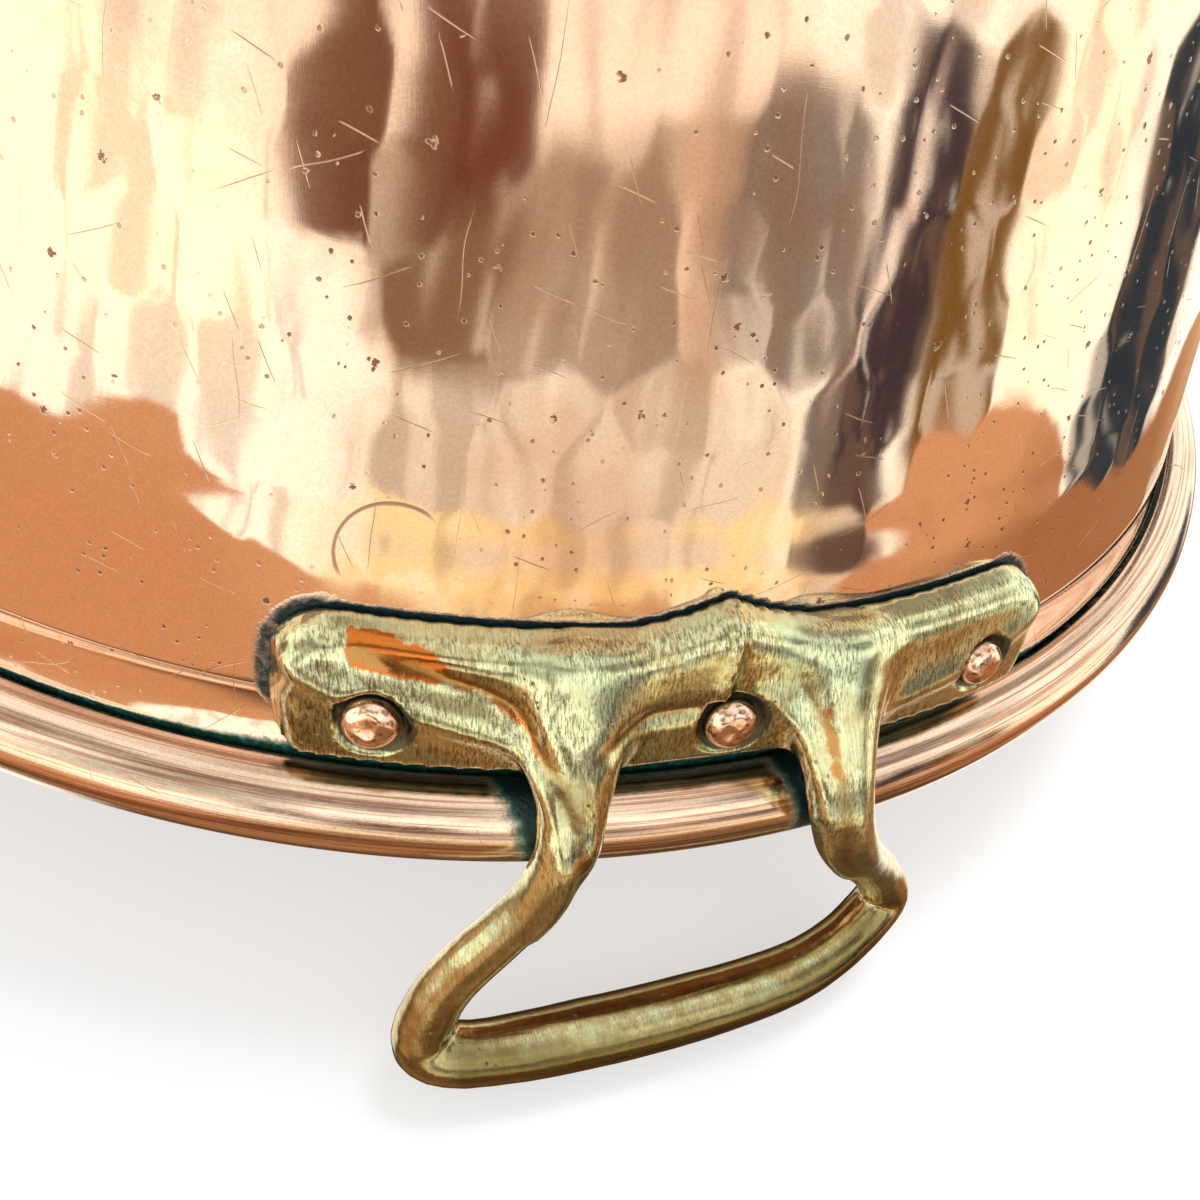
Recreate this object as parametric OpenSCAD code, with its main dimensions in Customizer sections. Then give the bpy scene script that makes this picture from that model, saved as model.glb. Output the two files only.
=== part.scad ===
// Preserving bowl raised from hammered copper sheet, with two cast brass handles.
// +Z is up. The origin is the centre of the underside. The handles stand on -Y and +Y.

/* [Bowl] */
// Diameter of the circle that runs along the middle of the rolled rim
rim_circle_d = 400; // [360:5:440]
// Height from the underside to the top of the rim
bowl_h = 136; // [120:1:170]
// Thickness of the copper sheet
sheet_t = 1.8; // [1.2:0.1:2.2]
// Angle between the wall and the vertical
wall_flare = 21; // [15:1:25]
// Outside radius where the wall turns into the base
base_corner_r = 30; // [20:1:36]

/* [Rim] */
// Thickness of the rolled rim
roll_d = 14.4; // [13:0.2:15]
// Clearance around the iron wire inside the roll
wire_gap = 0.05; // [0.02:0.01:0.1]

/* [Handle plate] */
// Width of the plate that is riveted to the wall
plate_w = 128; // [125:1:132]
// Distance from the top of the rim down to the plate's upper edge
plate_drop = 20.5; // [20:0.5:21.5]
// Height of the plate, without its middle point
plate_h = 17.5; // [17:0.5:20]
// Height of the point in the middle of the plate's lower edge
plate_point_h = 4.5; // [2:0.5:7]
// Thickness of the plate along the rivets
plate_t = 7.5; // [6.5:0.1:8]
// Thickness of the plate at the edge with the point
plate_edge_t = 1.2; // [1:0.1:3]

/* [Handle loop] */
// Thickness of the grip in the middle
grip_d = 11.6; // [11:0.2:14]
// Thickness of the two arms
arm_d = 8.8; // [8:0.2:10]
// Stretch of the loop above the rim, as a share of its normal height
grip_rise = 1; // [0.9:0.05:1.3]

/* [Rivets] */
// Shank diameter
rivet_d = 5; // [4:0.1:6]
// Diameter of the domed head in its pocket
rivet_head_d = 8.9; // [8:0.1:9.4]
// Height of the domed head
rivet_head_h = 3; // [2:0.1:3.4]
// Diameter of the wide head inside the bowl
rivet_inner_d = 12; // [10:0.5:14]
// Height of the wide head inside the bowl
rivet_inner_h = 1.4; // [1:0.1:2]
// Angle between the middle of the plate and its outer rivets, seen from above
rivet_angle = 14.7; // [14.2:0.1:14.9]
// Angle by which the middle rivet sits off the middle of the plate
rivet_shift = -0.6; // [-1:0.1:1]
// Distance from the top of the rim down to the rivets, along Z
rivet_drop = 24.8; // [24:0.1:26]
// Diameter of the pocket around each head
pocket_d = 10.6; // [10:0.1:12]
// Depth of the pocket
pocket_depth = 2.1; // [1:0.1:2.6]
// Clearance around the shanks and under the heads
rivet_gap = 0.05; // [0.02:0.01:0.1]

/* [Hidden] */

turned_fn = 180;
round_fn = 48;
copper = [0.80, 0.49, 0.34];
rivet_copper = [0.86, 0.60, 0.48];
brass = [0.71, 0.62, 0.33];
iron = [0.27, 0.26, 0.25];

front = -90; // direction of a handle, as an angle about Z
back = 90;

// The wall's section is a straight line. It is given by the point where it meets the roll's
// cut edge, its outward normal, and how far the radius grows with height.
rim_r = rim_circle_d / 2;
roll_r = roll_d / 2;
roll_z = bowl_h - roll_r;
wall_normal = [cos(wall_flare), -sin(wall_flare)];
wall_slope = tan(wall_flare);
seam_drop = 13.6;
seam_inset = 4.3;
seam = [rim_r - seam_inset, bowl_h - seam_drop];
function wall_r(z, off = 0) = seam[0] + off / cos(wall_flare) + (z - seam[1]) * wall_slope;
function wall_point(z, off = 0) = [wall_r(z), z] + off * wall_normal;

// The base corner is an arc that touches the base and the wall.
corner = [wall_r(base_corner_r, -base_corner_r), base_corner_r];

// The sheet goes round the wire from the neck inside the rim to the cut edge outside it.
wire_r = roll_r - sheet_t;
neck_angle = 212;
cut_angle = 242;
plate_clear = 0.05; // gap between the handle plate and the wall
wall_z = bowl_h - rivet_drop;

// Middle line of the handle loop, from the root of one arm over the rim, along the grip and
// back to the root of the other. Each row is a place, then the thickness across and outward.
// A place is outward from the rim circle, sideways, and up from the top of the rim, for a
// handle on +X. The grip bows outward and swings out further at one corner, as cast by hand.
arm_across = arm_d + 1.2;
arm_flat = arm_d - 0.4;
loop_rows = [
    [[-6.8, 20.5, -35.5], arm_across + 3, arm_flat],
    [[-3.4, 21.3, -31], arm_across + 4, arm_d],
    [[0, 22.2, -27], arm_across + 3, arm_d],
    [[4.5, 23, -19.5], arm_across + 1, arm_d],
    [[8.7, 24.2, -15], arm_across, arm_flat],
    [[11.4, 27.5, -7], arm_d, arm_flat],
    [[12.8, 32, 0], arm_d - 0.3, arm_flat],
    [[14.8, 39, 10], arm_d, arm_d],
    [[17.2, 43.2, 17.5], arm_d + 0.7, arm_d + 0.7],
    [[20.6, 45, 24.5], arm_d + 1.6, arm_d + 1.6],
    [[23.4, 37.8, 26.8], grip_d - 1, grip_d - 1],
    [[23.7, 18, 28], grip_d, grip_d],
    [[22.8, -3.4, 28.5], grip_d, grip_d],
    [[21.1, -21.4, 27.2], grip_d - 0.8, grip_d - 0.8],
    [[18.4, -31.5, 25.7], grip_d - 1.6, grip_d - 1.6],
    [[14.8, -39, 23.8], arm_d + 1, arm_d + 1],
    [[11.2, -43.6, 19.5], arm_d + 0.8, arm_d + 0.8],
    [[9.9, -38.4, 11], arm_d + 0.4, arm_d],
    [[10.8, -30.9, 1], arm_d + 0.4, arm_flat],
    [[11.6, -24.3, -8], arm_d + 1, arm_flat],
    [[10, -20.5, -15.5], arm_across, arm_flat],
    [[6.2, -19.3, -21], arm_across + 1, arm_d],
    [[1.4, -19.5, -26], arm_across + 3, arm_d],
    [[-3, -20.2, -30.5], arm_across + 4, arm_d],
    [[-6.6, -20.5, -35], arm_across + 3, arm_flat]
];
loop_sides = 16;
loop_steps = 3; // rings between two rows

// ---------------------------------------------------------------- copper bowl

// Everything inside the wall line, moved outward by off. top is where the region ends.
module inside_region(off, top) {
    polygon([
        [0, -off], [corner[0], -off], corner, corner + (base_corner_r + off) * wall_normal,
        [wall_r(top, off), top], [0, top]
    ]);
    intersection() {
        translate(corner) circle(r = base_corner_r + off, $fn = turned_fn);
        translate([corner[0], -off]) square([base_corner_r * 2, base_corner_r + off]);
    }
}

// A point of the rim's section, r from the middle of the roll at angle a.
function roll_point(r, a) = [rim_r, roll_z] + r * [cos(a), sin(a)];

module rolled_edge() difference() {
    translate(roll_point(0, 0)) circle(r = roll_r, $fn = turned_fn);
    translate(roll_point(0, 0)) circle(r = wire_r, $fn = turned_fn);
    polygon([
        roll_point(0, 0), roll_point(roll_d, neck_angle),
        roll_point(roll_d, (neck_angle + cut_angle) / 2), roll_point(roll_d, cut_angle)
    ]);
}

// Short neck between the top of the straight wall and the start of the roll.
module neck() {
    join = 0.01; // overlap with the wall below
    turn = 3; // overlap with the roll above, in degrees
    polygon([
        [wall_r(seam[1], -sheet_t), seam[1] - join], [wall_r(seam[1]), seam[1] - join],
        roll_point(wire_r, neck_angle), roll_point(wire_r, neck_angle - turn),
        roll_point(roll_r, neck_angle - turn), roll_point(roll_r, neck_angle)
    ]);
}

module bowl_shell() color(copper) difference() {
    rotate_extrude($fn = turned_fn) {
        difference() {
            inside_region(0, seam[1]);
            inside_region(-sheet_t, seam[1] + 1);
        }
        neck();
        rolled_edge();
    }
    for (side = [front, back], place = [-1, 0, 1])
        at_rivet(side, place) rivet_bore();
}

module rim_wire() color(iron)
    rotate_extrude($fn = turned_fn)
        translate(roll_point(0, 0)) circle(r = wire_r - wire_gap, $fn = round_fn);

// ---------------------------------------------------------------- brass handles

// The plate's outline seen from outside: a bar with round ends, hollowed up to a point.
module plate_outline() {
    top = bowl_h - plate_drop;
    low = top - plate_h;
    end_r = 11;
    rim_end_r = 4;
    hollow_w = 22;
    hollow_r = (hollow_w * hollow_w + plate_point_h * plate_point_h) / (2 * plate_point_h);
    for (s = [-1, 1]) {
        translate([s * (plate_w / 2 - end_r), low + end_r]) circle(r = end_r, $fn = round_fn);
        translate([s * (plate_w / 2 - rim_end_r), top - rim_end_r])
            circle(r = rim_end_r, $fn = round_fn);
    }
    translate([-plate_w / 2 + end_r, low]) square([plate_w - 2 * end_r, plate_h]);
    translate([-plate_w / 2 + rim_end_r, top - rim_end_r])
        square([plate_w - 2 * rim_end_r, rim_end_r]);
    translate([-plate_w / 2, low + end_r])
        square([plate_w, plate_h - end_r - rim_end_r]);
    difference() {
        translate([-hollow_w, low - plate_point_h])
            square([2 * hollow_w, plate_point_h + 1]);
        for (s = [-1, 1])
            translate([s * hollow_w, low - hollow_r]) circle(r = hollow_r, $fn = turned_fn);
    }
}

// The plate's thickness: full along the rivets, falling away to a thin lower edge.
module plate_section() {
    top = bowl_h - plate_drop + 2;
    edge = bowl_h - plate_drop - plate_h;
    shoulder = edge + plate_t - 1;
    low = edge - plate_point_h - 1;
    polygon([
        wall_point(top, plate_clear), wall_point(top, plate_t), wall_point(shoulder, plate_t),
        wall_point(edge + 1.5, plate_edge_t + 1.2), wall_point(low, plate_edge_t),
        wall_point(low, plate_clear)
    ]);
}

function spline(p0, p1, p2, p3, t) =
    0.5 * (2 * p1 + (p2 - p0) * t + (2 * p0 - 5 * p1 + 4 * p2 - p3) * t * t
        + (3 * p1 - p0 - 3 * p2 + p3) * t * t * t);

function along(points, steps) = [
    for (i = [0 : len(points) - 2], k = [0 : steps - 1])
        spline(points[max(i - 1, 0)], points[i], points[i + 1],
            points[min(i + 2, len(points) - 1)], k / steps),
    points[len(points) - 1]
];

function unit(v) = v / norm(v);

// One ring of the loop: an ellipse across the middle line at row i of [place, across, outward].
function ring(line, i) =
    let (
        ahead = unit(line[min(i + 1, len(line) - 1)][0] - line[max(i - 1, 0)][0]),
        side = unit(cross(ahead, [1, 0, 0])),
        out = cross(side, ahead)
    )
    [for (k = [0 : loop_sides - 1])
        let (a = 360 * k / loop_sides)
        line[i][0] + side * cos(a) * line[i][1] / 2 + out * sin(a) * line[i][2] / 2];

module handle_loop() {
    places = along([for (row = loop_rows) [
        rim_r + row[0][0], row[0][1],
        bowl_h + row[0][2] * (row[0][2] > 0 ? grip_rise : 1)
    ]], loop_steps);
    across = along([for (row = loop_rows) row[1]], loop_steps);
    outward = along([for (row = loop_rows) row[2]], loop_steps);
    line = [for (i = [0 : len(places) - 1]) [places[i], across[i], outward[i]]];
    n = loop_sides;
    last = len(line) - 1;
    faces = concat(
        [[for (k = [n - 1 : -1 : 0]) k]],
        [for (i = [0 : last - 1], k = [0 : n - 1])
            [i * n + k, i * n + (k + 1) % n, (i + 1) * n + (k + 1) % n, (i + 1) * n + k]],
        [[for (k = [0 : n - 1]) last * n + k]]
    );
    polyhedron(points = [for (i = [0 : last]) each ring(line, i)], faces = faces, convexity = 6);
}

module handle() color(brass) difference() {
    union() {
        intersection() {
            rotate([0, 0, -30]) rotate_extrude(angle = 60, $fn = turned_fn) plate_section();
            translate([rim_r / 2, 0, 0]) rotate([90, 0, 90])
                linear_extrude(rim_r) plate_outline();
        }
        handle_loop();
    }
    for (place = [-1, 0, 1])
        at_rivet(0, place) {
            rivet_bore();
            translate([0, 0, plate_t - pocket_depth])
                cylinder(d = pocket_d, h = 20, $fn = round_fn);
        }
}

module handle_front() rotate([0, 0, front]) handle();
module handle_back() rotate([0, 0, back]) handle();

// ---------------------------------------------------------------- rivets

// Moves to the wall's outer surface at a rivet, with +Z pointing out of the wall.
module at_rivet(side, place)
    rotate([0, 0, side + (place == 0 ? rivet_shift : place * rivet_angle)])
        translate([wall_r(wall_z), 0, wall_z])
            rotate([0, 90 + wall_flare, 0]) children();

module rivet_bore()
    translate([0, 0, -4 * sheet_t])
        cylinder(d = rivet_d + 2 * rivet_gap, h = 4 * sheet_t + plate_t + 1, $fn = round_fn);

// A cap cut from a sphere: flat at z = 0, diameter d, height h.
module dome(d, h) {
    r = (d * d / 4 + h * h) / (2 * h);
    intersection() {
        translate([0, 0, h - r]) sphere(r = r, $fn = 2 * round_fn);
        cylinder(d = d + 1, h = h + 1, $fn = round_fn);
    }
}

module rivet(side, place) color(rivet_copper) at_rivet(side, place) {
    seat = plate_t - pocket_depth + rivet_gap;
    inner = sheet_t + rivet_gap;
    translate([0, 0, -inner - 0.2]) cylinder(d = rivet_d, h = inner + seat + 0.4, $fn = round_fn);
    translate([0, 0, seat]) dome(rivet_head_d, rivet_head_h);
    translate([0, 0, -inner]) mirror([0, 0, 1]) dome(rivet_inner_d, rivet_inner_h);
}

module rivet_front_left() rivet(front, -1);
module rivet_front_middle() rivet(front, 0);
module rivet_front_right() rivet(front, 1);
module rivet_back_left() rivet(back, -1);
module rivet_back_middle() rivet(back, 0);
module rivet_back_right() rivet(back, 1);

bowl_shell();
rim_wire();
handle_front();
handle_back();
rivet_front_left();
rivet_front_middle();
rivet_front_right();
rivet_back_left();
rivet_back_middle();
rivet_back_right();
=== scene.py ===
"""Looks of the hammered copper bowl: planished shell, cast and filed brass handles, hammered rivets.

The bowl stands upright in the CAD frame. Lengths are millimetres until a mesh is made.
theta is the angle around the bowl from its front (-Y) towards +X. h is the depth below the rim's top.
"""
import math

import bpy
import numpy as np
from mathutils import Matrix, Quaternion, Vector


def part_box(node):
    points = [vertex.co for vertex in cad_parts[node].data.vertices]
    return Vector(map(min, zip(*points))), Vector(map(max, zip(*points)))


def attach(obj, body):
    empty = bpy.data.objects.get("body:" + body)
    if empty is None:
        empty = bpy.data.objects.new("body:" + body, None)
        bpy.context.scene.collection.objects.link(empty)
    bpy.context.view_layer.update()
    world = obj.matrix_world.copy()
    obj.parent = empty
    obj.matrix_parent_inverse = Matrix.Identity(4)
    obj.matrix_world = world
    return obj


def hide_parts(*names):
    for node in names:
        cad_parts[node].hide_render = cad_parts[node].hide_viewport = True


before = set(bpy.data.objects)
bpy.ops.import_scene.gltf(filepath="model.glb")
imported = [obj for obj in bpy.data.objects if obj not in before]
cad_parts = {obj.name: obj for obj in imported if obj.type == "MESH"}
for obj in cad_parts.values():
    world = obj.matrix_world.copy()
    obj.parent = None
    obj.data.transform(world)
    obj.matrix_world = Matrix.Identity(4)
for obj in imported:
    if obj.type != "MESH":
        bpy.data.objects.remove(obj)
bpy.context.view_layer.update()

MM = 0.001

# ---------- sizes, from the frame and the CAD

_, shell_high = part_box("bowl_shell")
wire_low, wire_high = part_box("rim_wire")
BOWL_H = shell_high.z / MM
ROLL_Z = (wire_low.z + wire_high.z) / 2 / MM
ROLL_R = BOWL_H - ROLL_Z
RIM_R = shell_high.x / MM - ROLL_R
SHEET_T = 1.8
WIRE_R = ROLL_R - SHEET_T
CORNER_R = 30
FLARE = math.radians(21)
SEAM_DROP = 13.6
SEAM_R, SEAM_Z = RIM_R - 4.3, BOWL_H - SEAM_DROP
NECK_ANGLE, CUT_ANGLE = 212, 242
PLATE_HALF_W = 64
RIVET_ANGLE, RIVET_SHIFT, RIVET_DROP = 14.7, -0.6, 24.8
POCKET_D, POCKET_FLOOR = 10.6, 5.4
SHANK_D = 5
HEAD_D, HEAD_H = 8.9, 3.0
INNER_D, INNER_H = 12, 1.4
BORE_D = 5.1


def wall_r(z, off=0.0):
    return SEAM_R + off / math.cos(FLARE) + (z - SEAM_Z) * math.tan(FLARE)


def rivet_axes(place, turn=0):
    """Where a rivet's axis leaves the wall, its direction and the sideways direction.

    place is -1, 0 or 1, and turn is the angle of the handle's side about Z in degrees.
    """
    angle = math.radians(turn + (RIVET_ANGLE * place if place else RIVET_SHIFT))
    outward = np.array([math.cos(angle), math.sin(angle), 0])
    z = BOWL_H - RIVET_DROP
    axis = math.cos(FLARE) * outward - (0, 0, math.sin(FLARE))
    return wall_r(z) * outward + (0, 0, z), axis, np.array([-math.sin(angle), math.cos(angle), 0])


CORNER = (wall_r(CORNER_R, -CORNER_R), CORNER_R)


# ---------- small helpers

def smooth(x, low, high):
    """0 below low, 1 above high, smooth between. low may be the larger one."""
    t = np.clip((x - low) / (high - low), 0, 1)
    return t * t * (3 - 2 * t)


def bump(distance, width):
    return np.exp(-(distance / width) ** 2)


def lattice_noise(points, cell, seed):
    """Smooth noise from -1 to 1 at points (n, 3), from random values a cell apart."""
    rng = np.random.default_rng(seed)
    values = rng.uniform(-1, 1, (32, 32, 32))
    p = points / cell
    base = np.floor(p).astype(int)
    f = p - base
    f = f * f * (3 - 2 * f)
    out = 0
    for corner in CORNERS:
        weight = np.where(corner, f, 1 - f).prod(1)
        i = (base + corner) % 32
        out = out + weight * values[i[:, 0], i[:, 1], i[:, 2]]
    return out


CORNERS = [(i, j, k) for i in (0, 1) for j in (0, 1) for k in (0, 1)]


def line_distance(x, y, line):
    """Distance in the plane from points (x, y) to a polyline."""
    best = np.full(np.shape(x), 1e9)
    for (ax, ay), (bx, by) in zip(line[:-1], line[1:]):
        ux, uy = bx - ax, by - ay
        t = np.clip(((x - ax) * ux + (y - ay) * uy) / (ux * ux + uy * uy), 0, 1)
        best = np.minimum(best, np.hypot(x - ax - t * ux, y - ay - t * uy))
    return best


def make_piece(name, points, faces, material, attributes=()):
    """A smooth-shaded mesh object from points in millimetres and a list of face arrays."""
    mesh = bpy.data.meshes.new(name)
    corners = [face for part in faces for face in part.tolist()]
    mesh.from_pydata((points * MM).tolist(), [], corners)
    mesh.validate()
    for key, values in attributes:
        wide = np.size(values) == 3 * len(points)
        attribute = mesh.attributes.new(key, "FLOAT_VECTOR" if wide else "FLOAT", "POINT")
        field = "vector" if wide else "value"
        attribute.data.foreach_set(field, np.asarray(values, np.float32).ravel())
    mesh.polygons.foreach_set("use_smooth", np.ones(len(corners), bool))
    mesh.materials.append(material)
    piece = bpy.data.objects.new(name, mesh)
    bpy.context.scene.collection.objects.link(piece)
    return piece


def turned_faces(rows, columns):
    """Quads of a grid that closes round, and the fans to its two poles, whose points come last."""
    grid = np.arange(rows * columns).reshape(rows, columns)
    after = np.roll(grid, -1, 1)
    quads = np.stack([grid[:-1], after[:-1], after[1:], grid[1:]], -1).reshape(-1, 4)
    low, high = np.full(columns, grid.size), np.full(columns, grid.size + 1)
    fans = [np.stack([low, after[0], grid[0]], -1), np.stack([high, grid[-1], after[-1]], -1)]
    return [quads, np.concatenate(fans)]


# ---------- material nodes

class Nodes:
    """Short calls that add nodes to one node tree and link them. A socket or a number goes in."""

    def __init__(self, tree):
        self.tree = tree
        tree.nodes.clear()

    def add(self, kind, settings=(), inputs=()):
        node = self.tree.nodes.new(kind)
        for key, value in dict(settings).items():
            setattr(node, key, value)
        for key, value in dict(inputs).items():
            self.put(node.inputs[key], value)
        return node

    def put(self, socket, value):
        if isinstance(value, bpy.types.NodeSocket):
            self.tree.links.new(value, socket)
        elif socket.type == "RGBA":
            socket.default_value = (*value, 1)
        else:
            socket.default_value = value

    def math(self, operation, a, b=0.0, c=0.0):
        return self.add("ShaderNodeMath", {"operation": operation}, {0: a, 1: b, 2: c}).outputs[0]

    def plus(self, a, b):
        return self.math("ADD", a, b)

    def minus(self, a, b):
        return self.math("SUBTRACT", a, b)

    def times(self, a, b):
        return self.math("MULTIPLY", a, b)

    def larger(self, a, b):
        return self.math("MAXIMUM", a, b)

    def split(self, vector):
        return self.add("ShaderNodeSeparateXYZ", {}, {0: vector}).outputs

    def spot(self):
        """The shaded place in millimetres of the object's own frame."""
        return self.place(self.add("ShaderNodeTexCoord").outputs["Object"], scale=(1 / MM,) * 3)

    def step(self, value, low, high, to=(0.0, 1.0)):
        """Smooth step of a value between low and high."""
        inputs = {"Value": value, "From Min": low, "From Max": high, "To Min": to[0], "To Max": to[1]}
        node = self.add("ShaderNodeMapRange", {"interpolation_type": "SMOOTHSTEP"}, inputs)
        return node.outputs["Result"]

    def mix(self, factor, a, b):
        node = self.add("ShaderNodeMix", {"data_type": "RGBA"}, {"Factor": factor, 6: a, 7: b})
        return node.outputs[2]

    def tint(self, colour, mask, share, over):
        """Lays the colour over on a colour where the mask is, at most by share."""
        return self.mix(self.times(mask, share), colour, over)

    def painted(self, name, breakup, share, low, high):
        """A mask painted on the mesh, its edge broken up by noise."""
        level = self.plus(self.attribute(name), self.times(breakup, share))
        return self.step(level, low, high)

    def attribute(self, name, output="Fac"):
        return self.add("ShaderNodeAttribute", {"attribute_name": name}).outputs[output]

    def place(self, source, scale=(1, 1, 1), turn=(0, 0, 0), move=(0, 0, 0)):
        inputs = {"Vector": source, "Scale": scale, "Rotation": turn, "Location": move}
        return self.add("ShaderNodeMapping", {}, inputs).outputs["Vector"]

    def noise(self, source, scale=1.0, detail=2.0, rough=0.5):
        inputs = {"Vector": source, "Scale": scale, "Detail": detail, "Roughness": rough}
        return self.add("ShaderNodeTexNoise", {}, inputs).outputs["Fac"]

    def cells(self, source, scale):
        return self.add("ShaderNodeTexVoronoi", {}, {"Vector": source, "Scale": scale}).outputs["Distance"]

    def bump(self, height, distance, strength=1.0, normal=None):
        inputs = {"Height": height, "Distance": distance, "Strength": strength}
        if normal is not None:
            inputs["Normal"] = normal
        return self.add("ShaderNodeBump", {}, inputs).outputs["Normal"]


def new_material(name):
    material = bpy.data.materials.new(name)
    material.use_nodes = True
    return material, Nodes(material.node_tree)


def finish_material(n, colour, roughness, metallic, normal):
    inputs = {"Base Color": colour, "Roughness": roughness, "Metallic": metallic, "Normal": normal}
    shader = n.add("ShaderNodeBsdfPrincipled", {}, inputs)
    n.add("ShaderNodeOutputMaterial", {}, {"Surface": shader.outputs[0]})


# ---------- materials

COPPER = (0.95, 0.69, 0.56)
COPPER_WORN = (0.87, 0.55, 0.41)
COPPER_SMUDGE = (0.60, 0.38, 0.27)
COPPER_GRAIN = (0.45, 0.25, 0.15)
SCRATCH_DARK = (0.20, 0.10, 0.06)
PIT_DARK = (0.17, 0.06, 0.03)
STREAK_DARK, STREAK_LIGHT = (0.42, 0.15, 0.07), (0.98, 0.76, 0.64)
VERDIGRIS = (0.012, 0.10, 0.085)
VERDIGRIS_PALE = (0.06, 0.27, 0.21)
# Dark of the painted shade where the arms cross the roll and along the plate's outline.
SOOT_SHADE = (0.012, 0.035, 0.042)

# Lean in degrees, distance between rows and length of the boxes, in mm.
SCRATCH_LAYERS = [(12, 4, 7), (-24, 6, 11), (62, 5, 6), (97, 7, 13)]


def arc_scratch(n, spot, centre, radius, from_x, to_z):
    """A thin scratch along a circle around centre, kept where x is above from_x and z below to_z."""
    away = n.add("ShaderNodeVectorMath", {"operation": "DISTANCE"}, {0: spot, 1: centre})
    off = n.math("ABSOLUTE", n.minus(away.outputs["Value"], radius))
    x, _, z = n.split(spot)
    inside = n.times(n.step(x, from_x - 2, from_x), n.step(z, to_z + 2, to_z))
    return n.times(n.step(off, 0.35, 0.08), inside)


def scratch_layer(n, u, v, lean, pitch, length, seed):
    """Sparse thin scratches: one at most in each box of length by pitch millimetres, leaning by lean."""
    c, s = math.cos(lean), math.sin(lean)
    across = n.plus(n.times(u, -s / pitch), n.times(v, c / pitch))
    row = n.math("FLOOR", across)
    along = n.plus(n.times(u, c / length), n.times(v, s / length))
    along = n.plus(along, n.times(row, 0.37))
    box = n.add("ShaderNodeCombineXYZ", {}, {0: row, 1: n.math("FLOOR", along), 2: seed}).outputs[0]
    dice = n.add("ShaderNodeTexWhiteNoise", {}, {"Vector": box}).outputs["Color"]
    chance, place, weight = n.split(dice)
    middle = n.math("MULTIPLY_ADD", place, 0.6, 0.2)
    away = n.math("ABSOLUTE", n.minus(n.math("FRACT", across), middle))
    line = n.step(away, 0.08 / pitch, 0.02 / pitch)
    ends = n.step(n.math("ABSOLUTE", n.minus(n.math("FRACT", along), 0.5)), 0.5, 0.15)
    line = n.times(n.times(line, ends), n.math("GREATER_THAN", chance, 0.92))
    return n.times(line, n.math("MULTIPLY_ADD", weight, 0.7, 0.3))


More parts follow.
